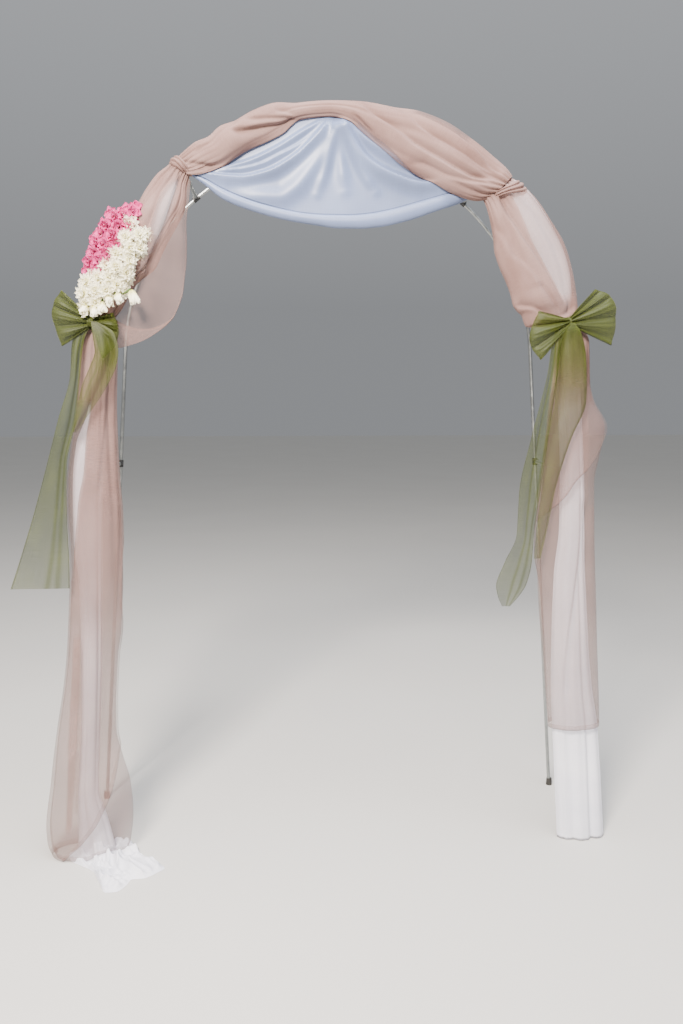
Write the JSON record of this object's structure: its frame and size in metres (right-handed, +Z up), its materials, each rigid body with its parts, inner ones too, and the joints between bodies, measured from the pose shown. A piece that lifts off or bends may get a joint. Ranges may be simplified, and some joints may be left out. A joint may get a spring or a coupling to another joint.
{
  "type": "draped wedding arch",
  "caption": "Freestanding round-topped tube arch dressed with white lining, rose voile, a white satin swag, olive organza bows and silk flowers, for a garden ceremony.",
  "frame": {"origin": "middle of the bottom of the whole dressed arch, on the ground", "axes": "+Z up, +X to the right seen from the dressed front, +Y from the dressed front hoop to the bare back hoop"},
  "size_m": [1.867, 0.626, 2.3036],
  "materials": {
    "zinc_tube": "zinc plated, satin",
    "black_coupler": "moulded",
    "rubber_cap": "matt",
    "white_lining": "fine plain weave",
    "rose_voile": "sheer voile",
    "white_satin": "soft satin sheen",
    "olive_organza": "crisp sheer organza",
    "pink_silk": "silk petals",
    "cream_silk": "silk petals"
  },
  "bodies": {
    "root": {"front_left_leg_tube": "zinc_tube", "front_left_shoulder_tube": "zinc_tube", "front_left_leg_coupler": "black_coupler", "front_left_arc_coupler": "black_coupler", "front_left_foot_cap": "rubber_cap", "front_right_leg_tube": "zinc_tube", "front_right_shoulder_tube": "zinc_tube", "front_right_leg_coupler": "black_coupler", "front_right_arc_coupler": "black_coupler", "front_right_foot_cap": "rubber_cap", "front_crown_tube": "zinc_tube", "back_left_leg_tube": "zinc_tube", "back_left_shoulder_tube": "zinc_tube", "back_left_leg_coupler": "black_coupler", "back_left_arc_coupler": "black_coupler", "back_left_foot_cap": "rubber_cap", "back_right_leg_tube": "zinc_tube", "back_right_shoulder_tube": "zinc_tube", "back_right_leg_coupler": "black_coupler", "back_right_arc_coupler": "black_coupler", "back_right_foot_cap": "rubber_cap", "back_crown_tube": "zinc_tube", "left_leg_rung": "zinc_tube", "left_arc_rung": "zinc_tube", "left_lining": "white_lining", "left_shoulder_voile": "rose_voile", "left_leg_voile": "rose_voile", "left_knot": "rose_voile", "left_bow": "olive_organza", "right_leg_rung": "zinc_tube", "right_arc_rung": "zinc_tube", "right_lining": "white_lining", "right_shoulder_voile": "rose_voile", "right_leg_voile": "rose_voile", "right_knot": "rose_voile", "right_bow": "olive_organza", "crown_voile": "rose_voile", "swag": "white_satin", "left_shoulder_loop": "rose_voile", "left_bow_front_tail": "olive_organza", "left_bow_side_tail": "olive_organza", "right_bow_inner_tail": "olive_organza", "right_bow_front_tail": "olive_organza", "cream_flowers": "cream_silk", "pink_flowers": "pink_silk", "left_lining_train": "white_lining"}
  },
  "joints": []
}
